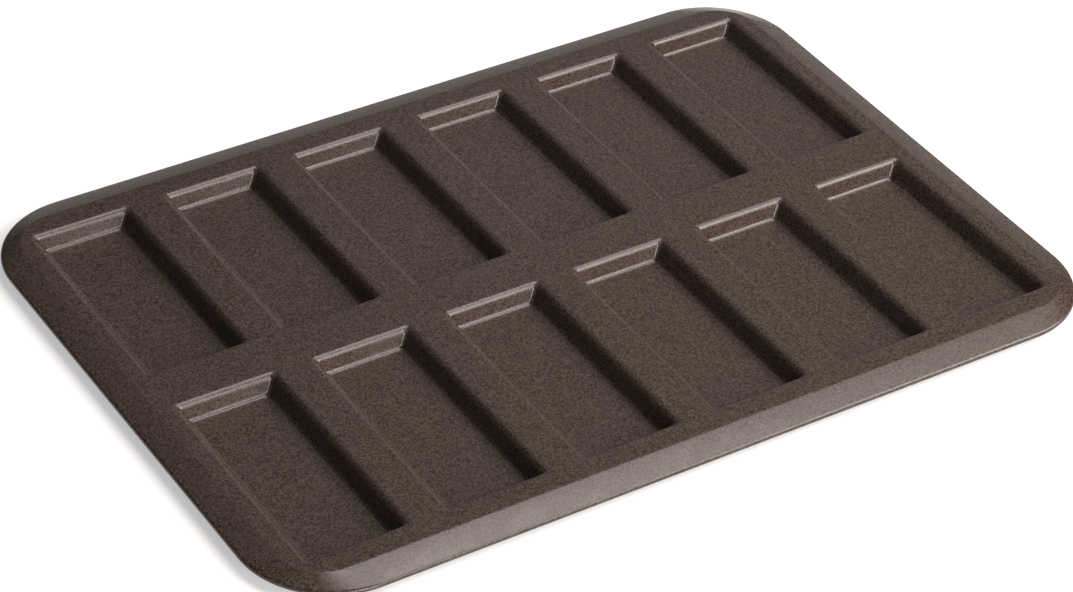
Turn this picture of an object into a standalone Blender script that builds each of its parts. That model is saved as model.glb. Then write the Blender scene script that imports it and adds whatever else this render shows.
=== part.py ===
"""Baking tray with twelve shallow oblong cavities in two rows, for small baguettes and finger bakes.

It is two pieces: the pressed steel sheet, and the closed wire ring that the sheet's edge is rolled round.
Metres, +Z up, X along the tray's long side. The origin is under the middle of the tray, level with the
undersides of the cavities, which are what the tray stands on.
"""

import math

import bmesh
import bpy
from mathutils.geometry import delaunay_2d_cdt

MM = 0.001

# Driving dimensions: the pattern of cavities
COLUMNS = 6
ROWS = 2
COLUMN_PITCH = 60.3 * MM
ROW_PITCH = 124.5 * MM

# One cavity, measured where its wall would meet the top of the plate if the edge were sharp
OPENING_X = 42.4 * MM
OPENING_Y = 100.8 * MM
OPENING_CORNER = 1.8 * MM
CORNER_TAPER = 0.25
CAVITY_DEPTH = 7.8 * MM
WALL_DRAFT = math.radians(13)
SIDE_LEAN = 0.25  # extra inset of the two long walls for each unit of depth
LIP_RADIUS = 3.1 * MM
FLOOR_FILLET = 2.0 * MM

# The sheet and its rim
SHEET = 0.6 * MM
LENGTH = 382.0 * MM
WIDTH = 269.5 * MM
RIM_CORNER = 39.0 * MM
BEND_CORNER = 16.0 * MM
FLANGE_SLOPE = math.radians(14.5)
FLANGE_RUN = 10.4 * MM
BEND_RADIUS = 5.0 * MM
CURL_RADIUS = 1.3 * MM
CURL_SWEEP = math.radians(265)
WIRE_RADIUS = 0.5 * MM

# How finely the round stretches are cut
LIP_STEPS = 3
FILLET_STEPS = 2
BEND_STEPS = 2
CURL_STEPS = 7
CAVITY_CORNER_STEPS = 3
RIM_CORNER_STEPS = 8
WIRE_SIDES = 10

# Worked out from the above
PLATE_TOP = SHEET + CAVITY_DEPTH
UP = math.pi / 2


def arc(centre, radius, start, end, steps):
    """Points of a section, as (distance, height), along an arc from one angle to another."""
    angles = [start + (end - start) * i / steps for i in range(steps + 1)]
    return [
        (centre[0] + radius * math.cos(angle), centre[1] + radius * math.sin(angle))
        for angle in angles
    ]


def cavity_section(skin):
    """One wall as (inset from the opening, height), from the plate down to the floor.

    skin is the distance below the top face: 0 for the top skin, the sheet's thickness for the underside.
    """
    lip_inset = -LIP_RADIUS * (1 - math.sin(WALL_DRAFT)) / math.cos(WALL_DRAFT)
    lip = arc(
        (lip_inset, PLATE_TOP - LIP_RADIUS), LIP_RADIUS - skin, UP, WALL_DRAFT, LIP_STEPS
    )
    fillet_inset = (
        FLOOR_FILLET * (1 - math.sin(WALL_DRAFT)) + CAVITY_DEPTH * math.sin(WALL_DRAFT)
    ) / math.cos(WALL_DRAFT)
    fillet = arc(
        (fillet_inset, PLATE_TOP - CAVITY_DEPTH + FLOOR_FILLET),
        FLOOR_FILLET + skin,
        math.pi + WALL_DRAFT,
        math.pi + UP,
        FILLET_STEPS,
    )
    return lip + fillet


def curl_centre():
    """Middle of the rolled edge, as (distance inside the tray's outline, height)."""
    drop = FLANGE_RUN * math.tan(FLANGE_SLOPE)
    return CURL_RADIUS, PLATE_TOP - drop - CURL_RADIUS * math.cos(FLANGE_SLOPE)


def rim_section(skin):
    """The rim as two lists of (inset from the outline, height): the bend out of the plate, and the curl."""
    curl_inset, curl_height = curl_centre()
    start = UP - FLANGE_SLOPE
    bend_inset = (
        curl_inset
        - CURL_RADIUS * math.cos(start)
        + FLANGE_RUN
        + BEND_RADIUS * math.tan(FLANGE_SLOPE / 2)
    )
    bend = arc((-bend_inset, PLATE_TOP - BEND_RADIUS), BEND_RADIUS - skin, UP, start, BEND_STEPS)
    curl = arc(
        (-curl_inset, curl_height), CURL_RADIUS - skin, start, start - CURL_SWEEP, CURL_STEPS
    )
    return [(-x, height) for x, height in bend], [(-x, height) for x, height in curl]


def rounded_rectangle(bm, centre, half_x, half_y, radius, height, corner_steps):
    """A level ring of vertices, anticlockwise from above, with each corner cut into equal steps."""
    ring = []
    for corner in range(4):
        start = corner * UP
        side_x = 1 if corner in (0, 3) else -1
        side_y = 1 if corner in (0, 1) else -1
        middle = (
            centre[0] + side_x * (half_x - radius),
            centre[1] + side_y * (half_y - radius),
        )
        for x, y in arc(middle, radius, start, start + UP, corner_steps):
            ring.append(bm.verts.new((x, y, height)))
    return ring


def bridge(bm, ring_a, ring_b):
    """Quads between two rings that have the same number of vertices."""
    count = len(ring_a)
    for i in range(count):
        j = (i + 1) % count
        bm.faces.new((ring_a[i], ring_a[j], ring_b[j], ring_b[i]))


def bridge_all(bm, rings):
    for ring_a, ring_b in zip(rings, rings[1:]):
        bridge(bm, ring_a, ring_b)


def cavity_centres():
    for row in range(ROWS):
        for column in range(COLUMNS):
            yield (
                (column - (COLUMNS - 1) / 2) * COLUMN_PITCH,
                (row - (ROWS - 1) / 2) * ROW_PITCH,
            )


def add_cavity(bm, centre, skin):
    """One cavity of one skin. Returns the ring where it meets the plate."""
    rings = [
        rounded_rectangle(
            bm,
            centre,
            OPENING_X / 2 - inset - SIDE_LEAN * (PLATE_TOP - height),
            OPENING_Y / 2 - inset,
            OPENING_CORNER - CORNER_TAPER * inset,
            height,
            CAVITY_CORNER_STEPS,
        )
        for inset, height in cavity_section(skin)
    ]
    bridge_all(bm, rings)
    bm.faces.new(rings[-1])
    return rings[0]


def outline_ring(bm, inset, height, radius):
    """A ring that follows the tray's outline at a distance inside it."""
    return rounded_rectangle(
        bm, (0, 0), LENGTH / 2 - inset, WIDTH / 2 - inset, radius, height, RIM_CORNER_STEPS
    )


def curl_ring(bm, inset, height):
    """A ring whose corners share their middles with the outline's."""
    return outline_ring(bm, inset, height, RIM_CORNER - inset)


def add_rim(bm, skin):
    """Bend, flange and rolled edge of one skin, as rings from the plate out to the sheet's end.

    The bend's corners are much tighter than the outline's, so the flange is narrower round each corner.
    """
    bend, curl = rim_section(skin)
    plate_inset = bend[0][0]
    flange_end = curl[0][0]
    widening = (RIM_CORNER - flange_end - BEND_CORNER) / (plate_inset - flange_end)
    rings = [
        outline_ring(bm, inset, height, BEND_CORNER + widening * (plate_inset - inset))
        for inset, height in bend
    ]
    rings += [curl_ring(bm, inset, height) for inset, height in curl]
    bridge_all(bm, rings)
    return rings


def fill_plate(bm, outer, holes):
    """Flat triangles between the bend's first ring and the cavities' first rings."""
    rings = [outer] + holes
    vertices = [vertex for ring in rings for vertex in ring]
    ring_of = [index for index, ring in enumerate(rings) for vertex in ring]
    edges = []
    start = 0
    for ring in rings:
        count = len(ring)
        edges += [(start + i, start + (i + 1) % count) for i in range(count)]
        start += count
    points = [vertex.co.xy / MM for vertex in vertices]
    inside_constraints = 1
    found = delaunay_2d_cdt(points, edges, [], inside_constraints, 1e-6)
    triangles, sources = found[2], found[3]
    for triangle in triangles:
        corners = [sources[index][0] for index in triangle]
        touched = {ring_of[corner] for corner in corners}
        if len(touched) == 1 and touched != {0}:
            continue
        bm.faces.new([vertices[corner] for corner in corners])


def add_skin(bm, skin):
    """One whole skin of the sheet. Returns its last ring, at the end of the rolled edge."""
    rim = add_rim(bm, skin)
    cavities = [add_cavity(bm, centre, skin) for centre in cavity_centres()]
    fill_plate(bm, rim[0], cavities)
    return rim[-1]


def painted(name, colour, roughness, metallic):
    material = bpy.data.materials.new(name)
    material.use_nodes = True
    shader = material.node_tree.nodes["Principled BSDF"]
    shader.inputs["Base Color"].default_value = (*colour, 1)
    shader.inputs["Roughness"].default_value = roughness
    shader.inputs["Metallic"].default_value = metallic
    return material


def add_object(name, bm, material):
    """Turns a closed bmesh into an object whose faces point out and whose round stretches look round."""
    bmesh.ops.recalc_face_normals(bm, faces=bm.faces)
    mesh = bpy.data.meshes.new(name)
    bm.to_mesh(mesh)
    bm.free()
    mesh.shade_smooth()
    mesh.set_sharp_from_angle(angle=math.radians(50))
    mesh.materials.append(material)
    piece = bpy.data.objects.new(name, mesh)
    bpy.context.scene.collection.objects.link(piece)
    return piece


def make_tray_sheet():
    """The pressed sheet: plate, cavities, sloping flange and rolled edge, one skin above the other."""
    bm = bmesh.new()
    bridge(bm, add_skin(bm, 0), add_skin(bm, SHEET))
    coating = painted("non_stick_coating", (0.045, 0.038, 0.036), 0.55, 0.0)
    return add_object("tray_sheet", bm, coating)


def make_rim_wire():
    """The closed ring of round wire in the middle of the rolled edge."""
    bm = bmesh.new()
    curl_inset, curl_height = curl_centre()
    section = arc((curl_inset, curl_height), WIRE_RADIUS, 0, 2 * math.pi, WIRE_SIDES)[:-1]
    rings = [curl_ring(bm, inset, height) for inset, height in section]
    bridge_all(bm, rings + rings[:1])
    steel = painted("wire_steel", (0.42, 0.42, 0.43), 0.35, 1.0)
    return add_object("rim_wire", bm, steel)


def main():
    for leftover in list(bpy.data.objects):
        bpy.data.objects.remove(leftover)
    make_tray_sheet()
    make_rim_wire()


main()
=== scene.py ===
"""The looks of the baguette tray: the pressed sheet in a fine mesh, its textured coating, and its wire."""

import math

import bmesh
import bpy
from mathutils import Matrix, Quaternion, Vector
from mathutils.geometry import delaunay_2d_cdt


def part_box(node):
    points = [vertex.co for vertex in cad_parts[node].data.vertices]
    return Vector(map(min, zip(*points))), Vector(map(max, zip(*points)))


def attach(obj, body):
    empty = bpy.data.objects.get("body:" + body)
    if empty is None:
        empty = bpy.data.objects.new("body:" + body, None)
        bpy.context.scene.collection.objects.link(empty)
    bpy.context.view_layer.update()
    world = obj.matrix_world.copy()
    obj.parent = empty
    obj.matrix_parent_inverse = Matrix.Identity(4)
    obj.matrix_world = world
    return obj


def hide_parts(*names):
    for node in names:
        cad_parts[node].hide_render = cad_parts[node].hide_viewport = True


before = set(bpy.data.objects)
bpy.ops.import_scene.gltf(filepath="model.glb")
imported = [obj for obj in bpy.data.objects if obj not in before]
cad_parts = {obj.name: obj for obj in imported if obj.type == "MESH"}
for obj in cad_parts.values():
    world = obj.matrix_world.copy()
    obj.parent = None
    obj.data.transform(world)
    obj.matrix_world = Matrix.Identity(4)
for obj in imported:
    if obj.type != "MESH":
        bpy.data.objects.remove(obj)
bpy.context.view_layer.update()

MM = 0.001
QUARTER_TURN = math.pi / 2
UP = QUARTER_TURN

# The sheet, read from the frame and from the same driving dimensions as the design
LOW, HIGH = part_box("tray_sheet")
LENGTH = HIGH.x - LOW.x
WIDTH = HIGH.y - LOW.y
PLATE_TOP = HIGH.z
COLUMNS = 6
ROWS = 2
COLUMN_PITCH = 60.3 * MM
ROW_PITCH = 124.5 * MM
OPENING_X = 42.4 * MM
OPENING_Y = 100.8 * MM
OPENING_CORNER = 1.8 * MM
CORNER_TAPER = 0.25
SHEET = 0.6 * MM
CAVITY_DEPTH = PLATE_TOP - SHEET
WALL_DRAFT = math.radians(13)
SIDE_LEAN = 0.25
LIP_RADIUS = 3.1 * MM
FLOOR_FILLET = 2.0 * MM
RIM_CORNER = 39.0 * MM
BEND_CORNER = 16.0 * MM
FLANGE_SLOPE = math.radians(14.5)
FLANGE_RUN = 10.4 * MM
BEND_RADIUS = 5.0 * MM
CURL_RADIUS = 1.3 * MM
CURL_SWEEP = math.radians(265)
WIRE_RADIUS = 0.5 * MM

# How finely the round stretches are cut, and how sharp an edge has to be to look sharp
LIP_STEPS = 10
FILLET_STEPS = 8
BEND_STEPS = 8
CURL_STEPS = 20
CAVITY_CORNER_STEPS = 10
RIM_CORNER_STEPS = 40
WIRE_SIDES = 16
SHARP_ANGLE = math.radians(50)

# A flat margin beside the rounded bends, so that smooth shading leaves the plate and the floors flat
HOLD = 0.3 * MM

# Points closer than this are one point when the plate is filled, in millimetres
FILL_TOLERANCE = 1e-6

# The coating: its colours in linear light, how rough it is, and the sizes of its marks and relief
COAT_DARK = (0.0155, 0.0062, 0.0021)
COAT_LIGHT = (0.0645, 0.0462, 0.0378)
COAT_MOTTLE = (0.040, 0.0262, 0.020)
COAT_SCUFF = (0.16, 0.13, 0.115)
COAT_TINT = (1.0, 0.97, 0.95)
COAT_ROUGH = (0.26, 0.33)
GRAIN = 0.9 * MM
GRAIN_HEIGHT = 0.022 * MM
MOTTLE = 9.0 * MM
MOTTLE_STRENGTH = 0.22
SCUFF_WIDTH = 1.1 * MM
SCUFF_STRETCH = (1, 0.35, 1)
SCUFF_PATCH = 30.0 * MM
SCUFF_STRENGTH = 0.6
WAVE = 28.0 * MM
WAVE_HEIGHT = 0.08 * MM

# The wire: two greys in linear light, how rough it is, and the sizes of its tarnish and fine relief
WIRE_DARK = (0.36, 0.35, 0.33)
WIRE_LIGHT = (0.56, 0.55, 0.53)
WIRE_ROUGH = (0.3, 0.46)
TARNISH = 3.0 * MM
WIRE_GRAIN = 0.3 * MM
WIRE_GRAIN_HEIGHT = 0.01 * MM
WIRE_GRAIN_STRENGTH = 0.6

# Which values of a noise pattern count: nearly all of them, or only its peaks
MOST = (0.3, 0.7)
GRAIN_RANGE = (0.34, 0.66)
SCUFF_RANGE = (0.735, 0.79)
PATCH_RANGE = (0.52, 0.62)

# The places of the colour sockets on Blender's Mix node, whose names aren't unique
MIX_FIRST = 6
MIX_SECOND = 7
MIX_RESULT = 2

# The camera: where it looks, from which side and how far, how long its lens is, and what range it draws
TARGET = Vector((-14.0 * MM, -19.2 * MM, PLATE_TOP))
AZIMUTH = math.radians(34.15)
ELEVATION = math.radians(37.23)
ROLL = math.radians(3.21)
DISTANCE = 1.42
LENS = 118.81
CLIP_START = 0.05
CLIP_END = 30.0

# The studio: round soft boxes as (name, elevation, azimuth from +X, watts), with the angles in degrees
LIGHT_SIZE = 0.8
LIGHT_DISTANCE = 1.6
LIGHT_COLOUR = (1.0, 0.95, 0.92)
LIGHTS = (
    ("front_low", 12, -92, 20.0),
    ("front_middle", 32, -60, 12.5),
    ("front_high", 50, -42, 6.0),
    ("right_middle", 34, -30, 17.5),
    ("right_high", 54, 0, 3.4),
    ("top", 74, 0, 10.8),
    ("back_right_low", 6, 43, 0.8),
    ("back_low", 10, 70, 0.46),
    ("back_right_middle", 35, 50, 0.54),
    ("back_middle", 50, 88, 0.55),
)
WORLD_STRENGTH = 0.06
WHITE = (1, 1, 1, 1)

# The pale floor, which lies just under the tray
FLOOR_COLOUR = (0.6, 0.6, 0.6, 1)
FLOOR_GLOW = 0.45
FLOOR_HALF_WIDTH = 6.0
FLOOR_DROP = 0.2 * MM


def arc(centre, radius, start, end, steps):
    """Points along an arc between two angles, as pairs: (x, y) in plan, or (inset, height) in a section."""
    angles = [start + (end - start) * i / steps for i in range(steps + 1)]
    return [
        (centre[0] + radius * math.cos(angle), centre[1] + radius * math.sin(angle))
        for angle in angles
    ]


def cavity_section(skin):
    """One wall as (inset from the opening, height), from the plate down to the floor."""
    lip_inset = -LIP_RADIUS * (1 - math.sin(WALL_DRAFT)) / math.cos(WALL_DRAFT)
    lip = arc(
        (lip_inset, PLATE_TOP - LIP_RADIUS), LIP_RADIUS - skin, UP, WALL_DRAFT, LIP_STEPS
    )
    fillet_inset = (
        FLOOR_FILLET * (1 - math.sin(WALL_DRAFT)) + CAVITY_DEPTH * math.sin(WALL_DRAFT)
    ) / math.cos(WALL_DRAFT)
    fillet = arc(
        (fillet_inset, PLATE_TOP - CAVITY_DEPTH + FLOOR_FILLET),
        FLOOR_FILLET + skin,
        math.pi + WALL_DRAFT,
        math.pi + UP,
        FILLET_STEPS,
    )
    plate_edge = (lip[0][0] - HOLD, lip[0][1])
    floor_edge = (fillet[-1][0] + HOLD, fillet[-1][1])
    return [plate_edge] + lip + fillet + [floor_edge]


def curl_centre():
    """Middle of the rolled edge, as (distance inside the tray's outline, height)."""
    drop = FLANGE_RUN * math.tan(FLANGE_SLOPE)
    return CURL_RADIUS, PLATE_TOP - drop - CURL_RADIUS * math.cos(FLANGE_SLOPE)


def rim_section(skin):
    """The rim as two lists of (inset from the outline, height): the bend out of the plate, and the curl."""
    curl_inset, curl_height = curl_centre()
    start = UP - FLANGE_SLOPE
    bend_inset = (
        curl_inset
        - CURL_RADIUS * math.cos(start)
        + FLANGE_RUN
        + BEND_RADIUS * math.tan(FLANGE_SLOPE / 2)
    )
    bend = arc((-bend_inset, PLATE_TOP - BEND_RADIUS), BEND_RADIUS - skin, UP, start, BEND_STEPS)
    curl = arc(
        (-curl_inset, curl_height), CURL_RADIUS - skin, start, start - CURL_SWEEP, CURL_STEPS
    )
    bend.insert(0, (bend[0][0] - HOLD, bend[0][1]))
    return [(-x, height) for x, height in bend], [(-x, height) for x, height in curl]


def rounded_rectangle(bm, centre, half_x, half_y, radius, height, corner_steps):
    """A level ring of vertices, anticlockwise from above, with each corner cut into equal steps."""
    ring = []
    for corner in range(4):
        start = corner * QUARTER_TURN
        side_x = 1 if corner in (0, 3) else -1
        side_y = 1 if corner in (0, 1) else -1
        middle = (
            centre[0] + side_x * (half_x - radius),
            centre[1] + side_y * (half_y - radius),
        )
        for x, y in arc(middle, radius, start, start + QUARTER_TURN, corner_steps):
            ring.append(bm.verts.new((x, y, height)))
    return ring


def bridge(bm, ring_a, ring_b):
    """Quads between two rings that have the same number of vertices."""
    count = len(ring_a)
    for i in range(count):
        j = (i + 1) % count
        bm.faces.new((ring_a[i], ring_a[j], ring_b[j], ring_b[i]))


def bridge_all(bm, rings):
    """Quads between each ring and the next."""
    for ring_a, ring_b in zip(rings, rings[1:]):
        bridge(bm, ring_a, ring_b)


def cavity_centres():
    """Middle of each cavity, one row after the other."""
    for row in range(ROWS):
        for column in range(COLUMNS):
            yield (
                (column - (COLUMNS - 1) / 2) * COLUMN_PITCH,
                (row - (ROWS - 1) / 2) * ROW_PITCH,
            )


def add_cavity(bm, centre, skin):
    """One cavity of one skin. Returns the ring where it meets the plate."""
    rings = [
        rounded_rectangle(
            bm,
            centre,
            OPENING_X / 2 - inset - SIDE_LEAN * (PLATE_TOP - height),
            OPENING_Y / 2 - inset,
            OPENING_CORNER - CORNER_TAPER * inset,
            height,
            CAVITY_CORNER_STEPS,
        )
        for inset, height in cavity_section(skin)
    ]
    bridge_all(bm, rings)
    bm.faces.new(rings[-1])
    return rings[0]


def outline_ring(bm, inset, height, radius):
    """A ring that follows the tray's outline at a distance inside it."""
    return rounded_rectangle(
        bm, (0, 0), LENGTH / 2 - inset, WIDTH / 2 - inset, radius, height, RIM_CORNER_STEPS
    )


def curl_ring(bm, inset, height):
    """A ring whose corners share their middles with the outline's."""
    return outline_ring(bm, inset, height, RIM_CORNER - inset)


def add_rim(bm, skin):
    """Bend, flange and rolled edge of one skin, as rings from the plate out to the sheet's end.

    The bend's corners are much tighter than the outline's, so the flange is narrower round each corner.
    """
    bend, curl = rim_section(skin)
    plate_inset = bend[0][0]
    flange_end = curl[0][0]
    widening = (RIM_CORNER - flange_end - BEND_CORNER) / (plate_inset - flange_end)
    rings = [
        outline_ring(bm, inset, height, BEND_CORNER + widening * (plate_inset - inset))
        for inset, height in bend
    ]
    rings += [curl_ring(bm, inset, height) for inset, height in curl]
    bridge_all(bm, rings)
    return rings


def fill_plate(bm, outer, holes):
    """Flat triangles between the bend's first ring and the cavities' first rings."""
    rings = [outer] + holes
    vertices = [vertex for ring in rings for vertex in ring]
    ring_of = [index for index, ring in enumerate(rings) for vertex in ring]
    edges = []
    start = 0
    for ring in rings:
        count = len(ring)
        edges += [(start + i, start + (i + 1) % count) for i in range(count)]
        start += count
    points = [vertex.co.xy / MM for vertex in vertices]
    inside_constraints = 1
    found = delaunay_2d_cdt(points, edges, [], inside_constraints, FILL_TOLERANCE)
    triangles, sources = found[2], found[3]
    for triangle in triangles:
        corners = [sources[index][0] for index in triangle]
        touched = {ring_of[corner] for corner in corners}
        across_an_opening = len(touched) == 1 and touched != {0}
        if not across_an_opening:
            bm.faces.new([vertices[corner] for corner in corners])


def add_skin(bm, skin):
    """One whole skin of the sheet. Returns its last ring, at the end of the rolled edge."""
    rim = add_rim(bm, skin)
    cavities = [add_cavity(bm, centre, skin) for centre in cavity_centres()]
    fill_plate(bm, rim[0], cavities)
    return rim[-1]


def add_object(name, bm, material):
    """The finished piece, smooth except at its sharp edges."""
    bmesh.ops.recalc_face_normals(bm, faces=bm.faces)
    mesh = bpy.data.meshes.new(name)
    bm.to_mesh(mesh)
    bm.free()
    mesh.shade_smooth()
    mesh.set_sharp_from_angle(angle=SHARP_ANGLE)
    mesh.materials.append(material)
    piece = bpy.data.objects.new(name, mesh)
    bpy.context.scene.collection.objects.link(piece)
    return piece


def new_material(name):
    """A material with the plain shader, and its node tree."""
    material = bpy.data.materials.new(name)
    material.use_nodes = True
    return material, material.node_tree, material.node_tree.nodes["Principled BSDF"]


def noise(tree, size, detail=2, stretch=(1, 1, 1)):
    """A noise pattern whose marks are about this size, fixed to the piece."""
    place = tree.nodes.new("ShaderNodeTexCoord")
    scale = tree.nodes.new("ShaderNodeMapping")
    scale.inputs["Scale"].default_value = stretch
    pattern = tree.nodes.new("ShaderNodeTexNoise")
    pattern.inputs["Scale"].default_value = 1 / size
    pattern.inputs["Detail"].default_value = detail
    tree.links.new(place.outputs["Object"], scale.inputs["Vector"])
    tree.links.new(scale.outputs["Vector"], pattern.inputs["Vector"])
    return pattern.outputs["Fac"]


def spread(tree, value, old_range, new_range=(0, 1)):
    """One range of a value stretched to another, held at its ends."""
    node = tree.nodes.new("ShaderNodeMapRange")
    node.inputs["From Min"].default_value, node.inputs["From Max"].default_value = old_range
    node.inputs["To Min"].default_value, node.inputs["To Max"].default_value = new_range
    tree.links.new(value, node.inputs["Value"])
    return node.outputs["Result"]


def product(tree, first, second):
    """Two values multiplied, so that a mark shows only where both are high."""
    node = tree.nodes.new("ShaderNodeMath")
    node.operation = "MULTIPLY"
    tree.links.new(first, node.inputs[0])
    tree.links.new(second, node.inputs[1])
    return node.outputs["Value"]


def blend(tree, amount, first, second):
    """A colour that goes from the first to the second. Each is a colour or another node's output."""
    node = tree.nodes.new("ShaderNodeMix")
    node.data_type = "RGBA"
    tree.links.new(amount, node.inputs["Factor"])
    for socket_index, colour in ((MIX_FIRST, first), (MIX_SECOND, second)):
        socket = node.inputs[socket_index]
        if isinstance(colour, tuple):
            socket.default_value = colour + (1,)
        else:
            tree.links.new(colour, socket)
    return node.outputs[MIX_RESULT]


def bump(tree, height, distance, strength=1, under=None):
    """A surface relief, laid over another one if there is one."""
    node = tree.nodes.new("ShaderNodeBump")
    node.inputs["Distance"].default_value = distance
    node.inputs["Strength"].default_value = strength
    tree.links.new(height, node.inputs["Height"])
    if under:
        tree.links.new(under, node.inputs["Normal"])
    return node.outputs["Normal"]


def coating_material():
    """Dark brown-grey non-stick coating: fine sprayed grain, faint mottling and a few scuffs."""
    material, tree, shader = new_material("coating")
    grain = noise(tree, GRAIN, detail=1.5)
    mottle = noise(tree, MOTTLE, detail=3)
    tone = blend(tree, spread(tree, grain, GRAIN_RANGE), COAT_DARK, COAT_LIGHT)
    tone = blend(tree, spread(tree, mottle, MOST, (0, MOTTLE_STRENGTH)), tone, COAT_MOTTLE)
    streak = spread(tree, noise(tree, SCUFF_WIDTH, stretch=SCUFF_STRETCH), SCUFF_RANGE)
    patch = spread(tree, noise(tree, SCUFF_PATCH), PATCH_RANGE, (0, SCUFF_STRENGTH))
    tone = blend(tree, product(tree, streak, patch), tone, COAT_SCUFF)
    tree.links.new(tone, shader.inputs["Base Color"])
    shader.inputs["Specular Tint"].default_value = COAT_TINT + (1,)
    tree.links.new(spread(tree, mottle, MOST, COAT_ROUGH), shader.inputs["Roughness"])
    waves = bump(tree, noise(tree, WAVE), WAVE_HEIGHT)
    relief = bump(tree, grain, GRAIN_HEIGHT, under=waves)
    tree.links.new(relief, shader.inputs["Normal"])
    return material


def wire_material():
    """Steel wire with a fine relief and a dulled, unevenly tarnished surface."""
    material, tree, shader = new_material("wire")
    shader.inputs["Metallic"].default_value = 1
    tarnish = noise(tree, TARNISH, detail=3)
    tone = blend(tree, spread(tree, tarnish, MOST), WIRE_DARK, WIRE_LIGHT)
    tree.links.new(tone, shader.inputs["Base Color"])
    tree.links.new(spread(tree, tarnish, MOST, WIRE_ROUGH), shader.inputs["Roughness"])
    relief = bump(tree, noise(tree, WIRE_GRAIN), WIRE_GRAIN_HEIGHT, WIRE_GRAIN_STRENGTH)
    tree.links.new(relief, shader.inputs["Normal"])
    return material


def make_tray_sheet():
    """Both skins of the sheet, joined at the end of the rolled edge."""
    bm = bmesh.new()
    bridge(bm, add_skin(bm, 0), add_skin(bm, SHEET))
    piece = add_object("coated_sheet", bm, coating_material())
    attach(piece, "root")
    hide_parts("tray_sheet")


def make_rim_wire():
    """The closed ring of wire in the middle of the rolled edge."""
    bm = bmesh.new()
    curl_inset, curl_height = curl_centre()
    section = arc((curl_inset, curl_height), WIRE_RADIUS, 0, 2 * math.pi, WIRE_SIDES)[:-1]
    rings = [curl_ring(bm, inset, height) for inset, height in section]
    bridge_all(bm, rings + rings[:1])
    piece = add_object("edge_wire", bm, wire_material())
    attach(piece, "root")
    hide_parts("rim_wire")


def make_floor():
    """A plain pale floor with no shine."""
    material, tree, shader = new_material("floor")
    shader.inputs["Base Color"].default_value = FLOOR_COLOUR
    shader.inputs["Roughness"].default_value = 1
    shader.inputs["Specular IOR Level"].default_value = 0
    shader.inputs["Emission Color"].default_value = WHITE
    shader.inputs["Emission Strength"].default_value = FLOOR_GLOW
    bm = bmesh.new()
    bmesh.ops.create_grid(bm, x_segments=1, y_segments=1, size=FLOOR_HALF_WIDTH)
    mesh = bpy.data.meshes.new("floor")
    bm.to_mesh(mesh)
    bm.free()
    mesh.materials.append(material)
    floor = bpy.data.objects.new("floor", mesh)
    bpy.context.scene.collection.objects.link(floor)
    floor.location.z = -FLOOR_DROP


def make_camera():
    """The camera, turned by its roll about the line it looks along."""
    view = Vector((
        math.sin(AZIMUTH) * math.cos(ELEVATION),
        math.cos(AZIMUTH) * math.cos(ELEVATION),
        -math.sin(ELEVATION),
    ))
    data = bpy.data.cameras.new("camera")
    data.lens = LENS
    data.clip_start = CLIP_START
    data.clip_end = CLIP_END
    camera = bpy.data.objects.new("camera", data)
    bpy.context.scene.collection.objects.link(camera)
    camera.location = TARGET - view * DISTANCE
    camera.rotation_mode = "QUATERNION"
    camera.rotation_quaternion = view.to_track_quat("-Z", "Y") @ Quaternion((0, 0, 1), ROLL)
    bpy.context.scene.camera = camera


def soft_light(name, elevation, azimuth, power):
    """A round soft box that faces the tray, at an elevation and an azimuth in degrees from +X."""
    data = bpy.data.lights.new(name, "AREA")
    data.shape = "DISK"
    data.size = LIGHT_SIZE
    data.energy = power
    data.color = LIGHT_COLOUR
    lamp = bpy.data.objects.new(name, data)
    bpy.context.scene.collection.objects.link(lamp)
    rise, turn = math.radians(elevation), math.radians(azimuth)
    lamp.location = LIGHT_DISTANCE * Vector((
        math.cos(rise) * math.cos(turn),
        math.cos(rise) * math.sin(turn),
        math.sin(rise),
    ))
    lamp.rotation_euler = (-lamp.location).to_track_quat("-Z", "Y").to_euler()


def make_lights():
    """All the soft boxes, and a faint even light from everywhere."""
    for name, elevation, azimuth, power in LIGHTS:
        soft_light(name, elevation, azimuth, power)
    world = bpy.data.worlds.new("studio")
    bpy.context.scene.world = world
    world.use_nodes = True
    background = world.node_tree.nodes["Background"]
    background.inputs["Color"].default_value = WHITE
    background.inputs["Strength"].default_value = WORLD_STRENGTH


make_camera()
make_tray_sheet()
make_rim_wire()
make_floor()
make_lights()
bpy.context.scene.view_settings.view_transform = "Standard"
